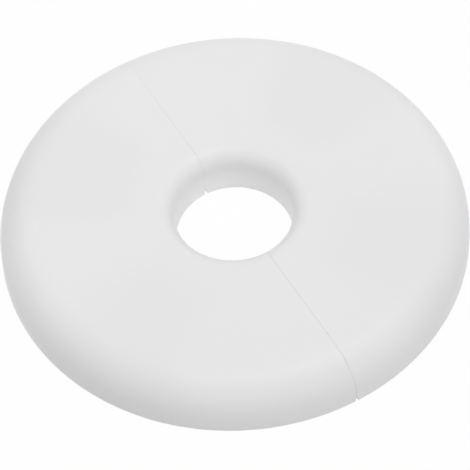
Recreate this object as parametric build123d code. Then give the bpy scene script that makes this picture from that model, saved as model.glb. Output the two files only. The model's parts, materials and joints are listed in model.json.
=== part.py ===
"""Split pipe rosette: a low, round-edged cover ring that hides the hole around a heating pipe.

It is injection-moulded in white plastic as two like halves. Each half is an open-backed shell
with a skirt, a collar round the pipe, a wall along its split face, a rib and, at its two ends,
a tapered tongue and a tapered socket. The halves push together around the pipe, tongue into
socket, and the taper holds them. The ring lies on the floor or wall at Z = 0, its bore along Z,
and the seam between the halves lies along X.
"""

import os
from math import sqrt

from build123d import *

# The pipe that the rosette is made for, and the room around it
pipe_diameter = 15.0
pipe_clearance = 0.25

# Outer form of the ring
outer_diameter = 62.0
height = 6.3
rim_round = 4.8  # quarter round from the top face down to the outer wall
bore_round = 2.3  # quarter round from the top face down into the bore

# Moulded walls
wall = 1.6  # top plate, skirt and collar
end_wall = 1.4  # wall behind each split face
rib = 1.0  # rib from the collar to the skirt
rib_angle = 80.0  # degrees from the tongue's end of the half, midway between its end pieces
stiffener_lift = 0.6  # end walls, rib and socket stop this far above the base

# Split faces: they close tight, but lean apart at the foot so that the edges in view meet first
seam_gap = 0.02
foot_relief = 0.25  # at the base, on each half
foot_relief_height = 1.2

# Tongue of one half and socket of the other
tongue_width = 7.0
tongue_height = 1.8
tongue_length = 8.0
tongue_taper = 1.0  # degrees on each side
tongue_lead_in = 0.5
tongue_clearance = 0.05
socket_nose_room = 0.5
socket_wall = 1.2

# Worked out from the driving dimensions
bore_radius = pipe_diameter / 2 + pipe_clearance
outer_radius = outer_diameter / 2
plate_underside = height - wall
chamfer_along_round = 2 - sqrt(2)  # leg of a chamfer that touches a quarter round, per radius
socket_x = -(bore_radius + outer_radius) / 2  # in the rear half; its tongue is across the bore
tongue_z = (stiffener_lift + plate_underside) / 2
socket_depth = tongue_length + socket_nose_room
overshoot = wall  # how far cutting shapes run past the faces that they cut


def ring(inner_radius, ring_radius, base, top, ease, inner_ease, outer_ease):
    """A ring about Z, its two top edges eased by fillet or chamfer."""
    corners = [(inner_radius, base), (ring_radius, base), (ring_radius, top), (inner_radius, top)]
    section = make_face(Polyline(*corners, close=True))
    section = ease(section.vertices().sort_by_distance((ring_radius, top))[0], outer_ease)
    section = ease(section.vertices().sort_by_distance((inner_radius, top))[0], inner_ease)
    return revolve(Plane.XZ * section, Axis.Z)


def behind_split_face(depth, base, top):
    """The slab from the rear half's split face back to a given depth, between two heights."""
    face_y = seam_gap / 2
    lean = foot_relief / foot_relief_height
    corners = [
        (face_y, foot_relief_height),
        (face_y + (foot_relief_height - base) * lean, base),
        (face_y + depth, base),
        (face_y + depth, top),
        (face_y, top),
    ]
    return extrude(Plane.YZ * make_face(Polyline(*corners, close=True)), outer_radius, both=True)


def upright_box(width, length, corner_y, base, top, x=0.0):
    """A box centred on x, running back from corner_y, between two heights."""
    middle = (x, corner_y + length / 2, (base + top) / 2)
    return Pos(*middle) * Box(width, length, top - base)


def tapered_plug(clearance, reach):
    """The form that tongue and socket share: it tapers back from the seam plane, at the socket."""
    mouth = Plane((socket_x, 0, tongue_z), x_dir=(-1, 0, 0), z_dir=(0, 1, 0))
    outline = Rectangle(tongue_width + 2 * clearance, tongue_height + 2 * clearance)
    return extrude(mouth * outline, reach, taper=tongue_taper)


def outer_half():
    """Half of the ring's outer form, solid."""
    whole = ring(bore_radius, outer_radius, 0, height, fillet, bore_round, rim_round)
    return whole & behind_split_face(outer_diameter, -overshoot, height + overshoot)


def hollow():
    """What the mould's core leaves open under the plate: its chamfers follow the outer rounds."""
    return ring(
        bore_radius + wall,
        outer_radius - wall,
        -overshoot,
        plate_underside,
        chamfer,
        (bore_round - wall) * chamfer_along_round,
        (rim_round - wall) * chamfer_along_round,
    )


def stiffeners():
    """End wall, rib and socket block, before the moulded hollow trims them to its own form."""
    lift_to_plate = (stiffener_lift, height)
    across_end = behind_split_face(end_wall, *lift_to_plate)
    spoke = Rot(0, 0, rib_angle - 90) * upright_box(rib, outer_radius, 0, *lift_to_plate)
    block_width = tongue_width + 2 * (tongue_clearance + socket_wall)
    block = upright_box(block_width, socket_depth + socket_wall, end_wall / 2, *lift_to_plate, x=socket_x)
    return across_end + spoke + block


def tongue():
    """Tapered tongue of the rear half: it points forward, at +X, and is rooted in the end wall."""
    plug = tapered_plug(0, tongue_length)
    plug = chamfer(plug.faces().sort_by(Axis.Y)[-1].edges(), tongue_lead_in)
    root = upright_box(
        tongue_width,
        end_wall,
        -end_wall,
        tongue_z - tongue_height / 2,
        tongue_z + tongue_height / 2,
        x=socket_x,
    )
    return Rot(0, 0, 180) * (plug + root)


def rear_half():
    """The half at +Y: shell, stiffeners, tongue and socket as one moulding."""
    shell = outer_half() - (hollow() - stiffeners())
    return shell + tongue() - tapered_plug(tongue_clearance, socket_depth)


rear = rear_half()
halves = {"rear_half": rear, "front_half": Rot(0, 0, 180) * rear}

os.makedirs("parts", exist_ok=True)
for name, half in halves.items():
    half.label = name
    export_step(half, f"parts/{name}.step")
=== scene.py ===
import json
import math

import bmesh
import bpy
from mathutils import Matrix, Vector


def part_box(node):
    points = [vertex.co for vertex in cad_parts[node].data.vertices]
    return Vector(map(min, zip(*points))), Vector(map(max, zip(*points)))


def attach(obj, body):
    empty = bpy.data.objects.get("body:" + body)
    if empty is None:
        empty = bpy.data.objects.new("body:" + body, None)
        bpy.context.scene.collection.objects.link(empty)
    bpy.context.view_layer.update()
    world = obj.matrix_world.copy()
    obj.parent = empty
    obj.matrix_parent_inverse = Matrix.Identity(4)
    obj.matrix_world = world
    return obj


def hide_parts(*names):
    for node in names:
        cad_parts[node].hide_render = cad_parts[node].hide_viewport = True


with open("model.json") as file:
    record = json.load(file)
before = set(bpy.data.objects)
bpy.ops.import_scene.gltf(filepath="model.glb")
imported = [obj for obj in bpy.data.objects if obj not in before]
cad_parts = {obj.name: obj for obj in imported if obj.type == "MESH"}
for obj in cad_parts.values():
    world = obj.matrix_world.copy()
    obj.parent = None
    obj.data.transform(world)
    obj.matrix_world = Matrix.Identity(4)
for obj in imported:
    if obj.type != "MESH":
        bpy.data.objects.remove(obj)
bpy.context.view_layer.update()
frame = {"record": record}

# The plastic of both halves: white polypropylene, coloured through and injection-moulded in a finely eroded
# mould. It is a clean neutral white with a broad satin gloss and a very fine grain. Over the hollows the top
# has painted shade, standing in for the light that the thin plate lets through; a few dark specks sit in the
# skin.
MM = 0.001
polypropylene_white = "#F2F2F2"
# The darker grey serves the painted shade over the hollows as well as the random clouds and the specks
polypropylene_painted_shade_and_speck = "#D4D4D4"
polypropylene_ior = 1.49
satin_roughness = (0.335, 0.385)
grain_size = 0.12 * MM
grain_depth = 0.004 * MM
noise_detail = 2.0
noise_span = (0.3, 0.7)
cloud_size = 14 * MM
cloud_strength = 0.03
speck_spacing = 4 * MM
speck_radius = 0.09 * MM
speck_strength = 0.35
# Share of half a turn from the tongue's end of a half, and how strongly shade is painted on the top there
painted_hollow_shades = (
    (0.07, 0.0), (0.17, 0.8), (0.3, 0.8), (0.4, 0.0), (0.5, 0.0), (0.61, 0.75), (0.7, 0.75), (0.8, 0.0))
painted_shade_from = (13 * MM, 18 * MM)
painted_shade_strength = 0.14


def linear(hex_colour):
    """An sRGB hex colour as linear RGBA."""
    channels = [int(hex_colour[i:i + 2], 16) / 255 for i in (1, 3, 5)]
    return [c / 12.92 if c <= 0.04045 else ((c + 0.055) / 1.055) ** 2.4 for c in channels] + [1.0]


def add_node(tree, kind, inputs=None, **settings):
    """A new node with its settings; each input is a socket to link from or a plain value."""
    node = tree.nodes.new(kind)
    for name, value in settings.items():
        setattr(node, name, value)
    for key, value in (inputs or {}).items():
        if isinstance(value, bpy.types.NodeSocket):
            tree.links.new(value, node.inputs[key])
        else:
            node.inputs[key].default_value = value
    return node


def new_material(name):
    """A material with an empty node tree."""
    material = bpy.data.materials.new(name)
    material.use_nodes = True
    material.node_tree.nodes.clear()
    return material


plastic = new_material("moulded_white_polypropylene")
tree = plastic.node_tree
place = add_node(tree, "ShaderNodeTexCoord").outputs["Object"]
part = add_node(tree, "ShaderNodeSeparateXYZ", {0: place}).outputs
# Painted shade on the top over the hollows: by the way round, which repeats after half a turn, and outside the
# collar
turn = add_node(tree, "ShaderNodeMath", {0: part["Y"], 1: part["X"]}, operation="ARCTAN2")
from_end = add_node(tree, "ShaderNodeMath", {0: turn.outputs[0], 1: math.pi}, operation="FLOORED_MODULO")
half_turn = add_node(tree, "ShaderNodeMath", {0: from_end.outputs[0], 1: math.pi}, operation="DIVIDE")
painted_shade_over_hollow = add_node(tree, "ShaderNodeValToRGB", {"Fac": half_turn.outputs[0]})
ramp = painted_shade_over_hollow.color_ramp
ramp.interpolation = "EASE"
for _ in painted_hollow_shades[2:]:
    ramp.elements.new(0.5)
for stop, (share, strength) in zip(ramp.elements, painted_hollow_shades):
    stop.position = share
    stop.color = (strength, strength, strength, 1)
reach = add_node(tree, "ShaderNodeVectorMath", {0: place}, operation="LENGTH")
painted_shade_outside_collar = add_node(tree, "ShaderNodeMapRange", {
    "Value": reach.outputs["Value"], "From Min": painted_shade_from[0], "From Max": painted_shade_from[1],
    "To Max": painted_shade_strength}, interpolation_type="SMOOTHSTEP")
painted_hollow_shade = add_node(tree, "ShaderNodeMath", {
    0: painted_shade_over_hollow.outputs["Color"], 1: painted_shade_outside_collar.outputs[0]}, operation="MULTIPLY")
clouds = add_node(tree, "ShaderNodeTexNoise", {
    "Vector": place, "Scale": 1 / cloud_size, "Detail": noise_detail})
cloud_tone = add_node(tree, "ShaderNodeMapRange", {
    "Value": clouds.outputs["Fac"], "From Min": noise_span[0], "From Max": noise_span[1],
    "To Max": cloud_strength})
specks = add_node(tree, "ShaderNodeTexVoronoi", {"Vector": place, "Scale": 1 / speck_spacing})
speck_tone = add_node(tree, "ShaderNodeMapRange", {
    "Value": specks.outputs["Distance"], "From Min": speck_radius / speck_spacing,
    "From Max": speck_radius / speck_spacing / 2, "To Max": speck_strength}, interpolation_type="SMOOTHSTEP")
# The base colour darkens by the painted shade over the hollows, the random clouds and the specks together
painted_shade_and_clouds = add_node(tree, "ShaderNodeMath", {
    0: painted_hollow_shade.outputs[0], 1: cloud_tone.outputs[0]}, operation="ADD")
painted_shade_clouds_and_specks = add_node(tree, "ShaderNodeMath", {0: painted_shade_and_clouds.outputs[0], 1: speck_tone.outputs[0]}, operation="ADD")
colour = add_node(tree, "ShaderNodeMix", {
    "Factor": painted_shade_clouds_and_specks.outputs[0], "A": linear(polypropylene_white),
    "B": linear(polypropylene_painted_shade_and_speck)}, data_type="RGBA")
gloss = add_node(tree, "ShaderNodeMapRange", {
    "Value": clouds.outputs["Fac"], "From Min": noise_span[0], "From Max": noise_span[1],
    "To Min": satin_roughness[0], "To Max": satin_roughness[1]})
grain = add_node(tree, "ShaderNodeTexNoise", {
    "Vector": place, "Scale": 1 / grain_size, "Detail": noise_detail})
eroded = add_node(tree, "ShaderNodeBump", {
    "Height": grain.outputs["Fac"], "Distance": grain_depth, "Strength": 1.0})
skin = add_node(tree, "ShaderNodeBsdfPrincipled", {
    "Base Color": colour.outputs["Result"],
    "Roughness": gloss.outputs[0],
    "IOR": polypropylene_ior,
    "Normal": eroded.outputs[0],
})
add_node(tree, "ShaderNodeOutputMaterial", {"Surface": skin.outputs[0]})

# Rear half, outer form: the low, round-edged half ring that shows when the rosette is on its pipe. Its
# section is one smooth line from the foot of the skirt over the top face into the bore, and it is taken
# half way round, up to the two split faces that close against the other half.
bore_radius = frame["record"]["mounts"][0]["dims"]["r_mm"] * MM
outer_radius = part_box("rear_half")[1].y
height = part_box("rear_half")[1].z
rim_round = 4.8 * MM
bore_round = 2.3 * MM
seam_gap = 0.02 * MM
rows_around = 97
round_steps = 16
top_steps = 14


def half_ring_tree():
    """Revolves a section, drawn as (radius, height), through half a turn between two upright end planes."""
    tree = bpy.data.node_groups.new("half_ring", "GeometryNodeTree")
    socket = tree.interface.new_socket
    socket("Section", in_out="INPUT", socket_type="NodeSocketGeometry")
    socket("Rows Around", in_out="INPUT", socket_type="NodeSocketInt")
    socket("End Plane Offset", in_out="INPUT", socket_type="NodeSocketFloat")
    socket("Material", in_out="INPUT", socket_type="NodeSocketMaterial")
    socket("Half Ring", in_out="OUTPUT", socket_type="NodeSocketGeometry")
    given = add_node(tree, "NodeGroupInput").outputs
    rail = add_node(tree, "GeometryNodeCurvePrimitiveLine")
    rows = add_node(tree, "GeometryNodeResampleCurve", {
        "Curve": rail.outputs[0], "Count": given["Rows Around"]})
    section = add_node(tree, "GeometryNodeMeshToCurve", {"Mesh": given["Section"]})
    prism = add_node(tree, "GeometryNodeCurveToMesh", {
        "Curve": rows.outputs[0], "Profile Curve": section.outputs[0], "Fill Caps": True})
    # In the prism X is the radius, Y the height and Z, from 0 to 1, the way round
    place = add_node(tree, "GeometryNodeInputPosition")
    part = add_node(tree, "ShaderNodeSeparateXYZ", {0: place.outputs[0]}).outputs
    end_sine = add_node(tree, "ShaderNodeMath", {
        0: given["End Plane Offset"], 1: part["X"]}, operation="DIVIDE")
    end_angle = add_node(tree, "ShaderNodeMath", {0: end_sine.outputs[0]}, operation="ARCSINE")
    far_angle = add_node(tree, "ShaderNodeMath", {
        0: math.pi, 1: end_angle.outputs[0]}, operation="SUBTRACT")
    angle = add_node(tree, "ShaderNodeMapRange", {
        "Value": part["Z"], "To Min": end_angle.outputs[0], "To Max": far_angle.outputs[0]})
    upright = add_node(tree, "ShaderNodeCombineXYZ", {"X": part["X"], "Z": part["Y"]})
    turned = add_node(tree, "ShaderNodeVectorRotate", {
        "Vector": upright.outputs[0], "Angle": angle.outputs[0]}, rotation_type="Z_AXIS")
    ring = add_node(tree, "GeometryNodeSetPosition", {
        "Geometry": prism.outputs[0], "Position": turned.outputs[0]})
    whole = add_node(tree, "GeometryNodeRealizeInstances", {"Geometry": ring.outputs[0]})
    made = add_node(tree, "GeometryNodeSetMaterial", {
        "Geometry": whole.outputs[0], "Material": given["Material"]})
    add_node(tree, "NodeGroupOutput", {"Half Ring": made.outputs[0]})
    return tree


def ring_section(inner, outer, foot, top, inner_round, outer_round, steps, flat_steps):
    """Closed outline (radius, height) of a ring's section; its top corners are rounded, or cut off in one step.

    The outline runs along the foot, up the outside, over the top and down the inside.
    """
    outline = [(inner, foot), (outer, foot)]
    for step in range(steps + 1):
        turn = math.pi / 2 * step / steps
        outline.append((outer - outer_round * (1 - math.cos(turn)), top - outer_round * (1 - math.sin(turn))))
    flat_from, flat_to = outer - outer_round, inner + inner_round
    for step in range(1, flat_steps):
        outline.append((flat_from + (flat_to - flat_from) * step / flat_steps, top))
    for step in range(steps + 1):
        turn = math.pi / 2 * step / steps
        outline.append((inner + inner_round * (1 - math.sin(turn)), top - inner_round * (1 - math.cos(turn))))
    return outline


def new_object(name, mesh):
    """An object for the mesh, linked to the scene."""
    piece = bpy.data.objects.new(name, mesh)
    bpy.context.scene.collection.objects.link(piece)
    return piece


def evaluated_mesh(piece):
    """The piece's mesh with its modifiers, as a plain mesh."""
    return bpy.data.meshes.new_from_object(piece.evaluated_get(bpy.context.evaluated_depsgraph_get()))


half_ring_nodes = half_ring_tree()


def half_ring(name, outline, end_offset):
    """A plain mesh object of the outline taken half way round."""
    mesh = bpy.data.meshes.new(name)
    corners = len(outline)
    mesh.from_pydata([(r, z, 0) for r, z in outline], [(i, (i + 1) % corners) for i in range(corners)], [])
    piece = new_object(name, mesh)
    revolve = piece.modifiers.new("revolve", "NODES")
    revolve.node_group = half_ring_nodes
    values = {"Rows Around": rows_around, "End Plane Offset": end_offset, "Material": plastic}
    for item in half_ring_nodes.interface.items_tree:
        if item.name in values:
            revolve[item.identifier] = values[item.name]
    finished = evaluated_mesh(piece)
    piece.modifiers.remove(revolve)
    piece.data = finished
    return piece


rear = half_ring(
    "rear_half_moulding",
    ring_section(bore_radius, outer_radius, 0, height, bore_round, rim_round, round_steps, top_steps),
    seam_gap / 2)

# Rear half, back: the hollow that the mould's core leaves, and the stiffeners that stand in it. They are a
# wall behind the split faces, a rib from collar to skirt and a block around the socket, all moulded in one
# and lifted off the base, so that only the skirt and the collar touch the floor.
wall = 1.6 * MM
end_wall = 1.4 * MM
rib = 1.0 * MM
rib_angle = math.radians(80)
stiffener_lift = 0.6 * MM
socket_wall = 1.2 * MM
tongue_width = 7.0 * MM
tongue_height = 1.8 * MM
tongue_length = 8.0 * MM
tongue_clearance = 0.05 * MM
socket_nose_room = 0.5 * MM
socket_depth = tongue_length + socket_nose_room
chamfer_along_round = 2 - math.sqrt(2)
plate_underside = height - wall
overshoot = wall

hollow = half_ring(
    "hollow",
    ring_section(bore_radius + wall, outer_radius - wall, -overshoot, plate_underside,
                 (bore_round - wall) * chamfer_along_round, (rim_round - wall) * chamfer_along_round, 1, 1),
    -overshoot)


def solid(name, stations):
    """A closed solid through rectangles along Y, each (y, x from, x to, z from, z to)."""
    bm = bmesh.new()
    rings = []
    for y, x0, x1, z0, z1 in stations:
        corners = ((x0, y, z0), (x1, y, z0), (x1, y, z1), (x0, y, z1))
        rings.append([bm.verts.new(corner) for corner in corners])
    bm.faces.new(rings[0])
    for near, far in zip(rings, rings[1:]):
        for i in range(4):
            bm.faces.new((near[i - 1], far[i - 1], far[i], near[i]))
    bm.faces.new(reversed(rings[-1]))
    bmesh.ops.recalc_face_normals(bm, faces=bm.faces)
    mesh = bpy.data.meshes.new(name)
    bm.to_mesh(mesh)
    bm.free()
    mesh.materials.append(plastic)
    return new_object(name, mesh)


def upright_box(name, width, y_from, y_to, x=0.0):
    """A stiffener, from its lift off the base up into the plate."""
    span = (x - width / 2, x + width / 2, stiffener_lift, height)
    return solid(name, [(y_from, *span), (y_to, *span)])


socket_x = -(bore_radius + outer_radius) / 2
socket_block = tongue_width + 2 * (tongue_clearance + socket_wall)
end_piece = upright_box("end_wall", 2 * outer_radius + overshoot, -2 * overshoot, seam_gap / 2 + end_wall)
rib_piece = upright_box("rib", rib, 0, outer_radius)
rib_piece.data.transform(Matrix.Rotation(rib_angle - math.pi / 2, 4, "Z"))
block_piece = upright_box(
    "socket_block", socket_block, end_wall / 2, end_wall / 2 + socket_depth + socket_wall, socket_x)

# Rear half, split faces: a tapered tongue stands out of one and a socket to match goes into the other. The
# tongue is pushed in until the taper holds it. The faces close tight, but lean apart at the foot, so that
# the edges in view meet first; that leaves a small notch in the collar and a finer one in the skirt.
tongue_taper = math.tan(math.radians(1.0))
tongue_lead_in = 0.5 * MM
tongue_z = (stiffener_lift + plate_underside) / 2
collar_relief = 0.25 * MM
skirt_relief = 0.18 * MM
relief_height = 1.2 * MM
sharp_edge = math.radians(30)


def plug(name, clearance, root, reach, lead_in):
    """The form that tongue and socket share: it tapers back from the seam plane, at the socket."""
    stations = []
    for y, inset in ((-root, 0), (0, 0), (reach - lead_in, 0), (reach, lead_in)):
        narrowing = max(y, 0) * tongue_taper + inset
        across = tongue_width / 2 + clearance - narrowing
        upward = tongue_height / 2 + clearance - narrowing
        stations.append((y, socket_x - across, socket_x + across, tongue_z - upward, tongue_z + upward))
    return solid(name, stations if lead_in else stations[:3])


tongue = plug("tongue", 0, end_wall, tongue_length, tongue_lead_in)
tongue.data.transform(Matrix.Rotation(math.pi, 4, "Z"))
socket = plug("socket", tongue_clearance, overshoot, socket_depth, 0)


def foot_wedge(name, reach, relief):
    """What leans off the split faces at the foot, out to a radius: the relief is its depth at the base."""
    wedge = solid(name, [(-overshoot, -reach, reach, -overshoot, relief_height + overshoot)] * 2)
    far_corners = wedge.data.vertices[4:]
    for corner in far_corners:
        corner.co.y = seam_gap / 2 + (relief_height - corner.co.z) * relief / relief_height
    return wedge


collar_wedge = foot_wedge("collar_wedge", bore_radius + wall + end_wall, collar_relief)
skirt_wedge = foot_wedge("skirt_wedge", outer_radius + overshoot, skirt_relief)


def combine(piece, operation, other):
    """Adds a Boolean step to the piece."""
    step = piece.modifiers.new(other.name, "BOOLEAN")
    step.operation = operation
    step.object = other
    step.solver = "EXACT"


for stiffener in (end_piece, rib_piece, block_piece):
    combine(hollow, "DIFFERENCE", stiffener)
combine(rear, "DIFFERENCE", hollow)
combine(rear, "DIFFERENCE", collar_wedge)
combine(rear, "DIFFERENCE", skirt_wedge)
combine(rear, "UNION", tongue)
combine(rear, "DIFFERENCE", socket)
rear_mesh = evaluated_mesh(rear)
rear.modifiers.clear()
rear.data = rear_mesh
for helper in (hollow, end_piece, rib_piece, block_piece, tongue, socket, collar_wedge, skirt_wedge):
    bpy.data.objects.remove(helper)
rear_mesh.name = "rear_half_moulding"
rear_mesh.polygons.foreach_set("use_smooth", [True] * len(rear_mesh.polygons))
rear_mesh.set_sharp_from_angle(angle=sharp_edge)
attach(rear, "rear")
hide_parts("rear_half")

# Front half: the same moulding out of the same mould, turned half a turn about the bore. Its tongue goes
# into the rear half's socket and its socket takes the rear half's tongue. It is pushed on a hair askew, so
# the seam is tight at the far rim and opens towards the near one.
front_push = 0.0015 * MM
front_askew = math.radians(-0.017)
front_mesh = rear_mesh.copy()
front_mesh.name = "front_half_moulding"
front_turn = Matrix.Rotation(math.pi + front_askew, 4, "Z")
front_mesh.transform(Matrix.Translation((0, front_push, 0)) @ front_turn)
front = new_object("front_half_moulding", front_mesh)
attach(front, "front")
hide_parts("front_half")

# Floor: a plain white studio sweep, wide enough to fill the picture, a hair below the ring's base. To the eye
# it is burnt out to white, but it keeps the ring's faint shadow, and as a matt white surface it throws light
# up onto the skirt.
paper_white = "#F4F4F4"
burnt_out_white = "#FFFFFF"
floor_reach = 3.0
floor_z = -0.02 * MM
floor_white_share = 0.96
floor_mesh = bpy.data.meshes.new("floor")
floor_corners = [(x * floor_reach, y * floor_reach, floor_z) for x, y in ((-1, -1), (1, -1), (1, 1), (-1, 1))]
floor_mesh.from_pydata(floor_corners, [], [(0, 1, 2, 3)])
floor = new_object("floor", floor_mesh)


def seen_directly(tree):
    """1 on rays from the camera and on what they show in gloss or through clear matter, otherwise 0."""
    path = add_node(tree, "ShaderNodeLightPath").outputs
    seen = add_node(tree, "ShaderNodeMath", {
        0: path["Is Camera Ray"], 1: path["Is Glossy Ray"]}, operation="MAXIMUM")
    through = add_node(tree, "ShaderNodeMath", {
        0: seen.outputs[0], 1: path["Is Transmission Ray"]}, operation="MAXIMUM")
    return through.outputs[0]


sweep = new_material("matt_white_paper_sweep")
tree = sweep.node_tree
white_share = add_node(tree, "ShaderNodeMath", {
    0: seen_directly(tree), 1: floor_white_share}, operation="MULTIPLY")
matt = add_node(tree, "ShaderNodeBsdfDiffuse", {"Color": linear(paper_white)})
burnt_out = add_node(tree, "ShaderNodeEmission", {"Color": linear(burnt_out_white), "Strength": 1.0})
shown = add_node(tree, "ShaderNodeMixShader", {
    0: white_share.outputs[0], 1: matt.outputs[0], 2: burnt_out.outputs[0]})
add_node(tree, "ShaderNodeOutputMaterial", {"Surface": shown.outputs[0]})
floor_mesh.materials.append(sweep)

# Light: a white tent. A large lamp in front, a smaller one on the left and two low ones close behind shine
# through its cloth, so the gloss doesn't show them. A small bare lamp over the back draws the highlight on
# the near shoulder. All face the ring; bearings go round from the camera by way of the picture's right.
camera_azimuth = math.radians(62.7)
towards_camera = Vector((math.sin(camera_azimuth), -math.cos(camera_azimuth), 0))
picture_right = Vector((math.cos(camera_azimuth), math.sin(camera_azimuth), 0))

world = bpy.data.worlds.new("white_tent")
world.use_nodes = True
bpy.context.scene.world = world
tree = world.node_tree
tree.nodes.clear()
tent = add_node(tree, "ShaderNodeBackground", {
    "Color": linear(burnt_out_white), "Strength": seen_directly(tree)})
add_node(tree, "ShaderNodeOutputWorld", {"Surface": tent.outputs[0]})


def round_lamp(name, bearing, elevation, distance, size, watts, behind_cloth=True):
    """A round lamp that faces the ring; the angles are in degrees, distance and size (across) in metres."""
    bearing, elevation = math.radians(bearing), math.radians(elevation)
    level_way = towards_camera * math.cos(bearing) + picture_right * math.sin(bearing)
    way = level_way * math.cos(elevation) + Vector((0, 0, math.sin(elevation)))
    data = bpy.data.lights.new(name, "AREA")
    data.shape = "DISK"
    data.size = size
    data.energy = watts
    lamp = bpy.data.objects.new(name, data)
    lamp.location = way * distance
    lamp.rotation_euler = way.to_track_quat("Z", "Y").to_euler()
    lamp.visible_glossy = not behind_cloth
    bpy.context.scene.collection.objects.link(lamp)


round_lamp("front_lamp", bearing=30, elevation=60, distance=2.0, size=4.0, watts=43.1)
round_lamp("left_lamp", bearing=270, elevation=64, distance=0.7, size=0.9, watts=1.46)
round_lamp("back_right_lamp", bearing=135, elevation=25, distance=0.45, size=0.58, watts=0.64)
round_lamp("back_left_lamp", bearing=225, elevation=25, distance=0.45, size=0.58, watts=0.56)
round_lamp("bare_lamp", bearing=150, elevation=75, distance=0.7, size=0.2, watts=0.24, behind_cloth=False)

# Camera: at the photograph's angle, a long lens from above the near end of the seam, turned a little in
# the picture's plane. The focal length and the rise of the ring in the picture are shares of its width.
camera_elevation = math.radians(53.66)
camera_roll = math.radians(-3.48)
camera_distance = 431 * MM
focal_share = 6.917
picture_rise = 0.0024
nearest_in_view = 10 * MM
camera_data = bpy.data.cameras.new("camera")
camera_data.sensor_fit = "HORIZONTAL"
camera_data.lens = camera_data.sensor_width * focal_share
camera_data.shift_y = -picture_rise
camera_data.clip_start = nearest_in_view
back = towards_camera * math.cos(camera_elevation) + Vector((0, 0, math.sin(camera_elevation)))
level_up = back.cross(picture_right)
right = picture_right * math.cos(camera_roll) + level_up * math.sin(camera_roll)
turned = Matrix((right, back.cross(right), back)).transposed().to_4x4()
camera = bpy.data.objects.new("camera", camera_data)
camera.matrix_world = Matrix.Translation(back * camera_distance) @ turned
bpy.context.scene.collection.objects.link(camera)
bpy.context.scene.camera = camera
bpy.context.scene.view_settings.view_transform = "Standard"
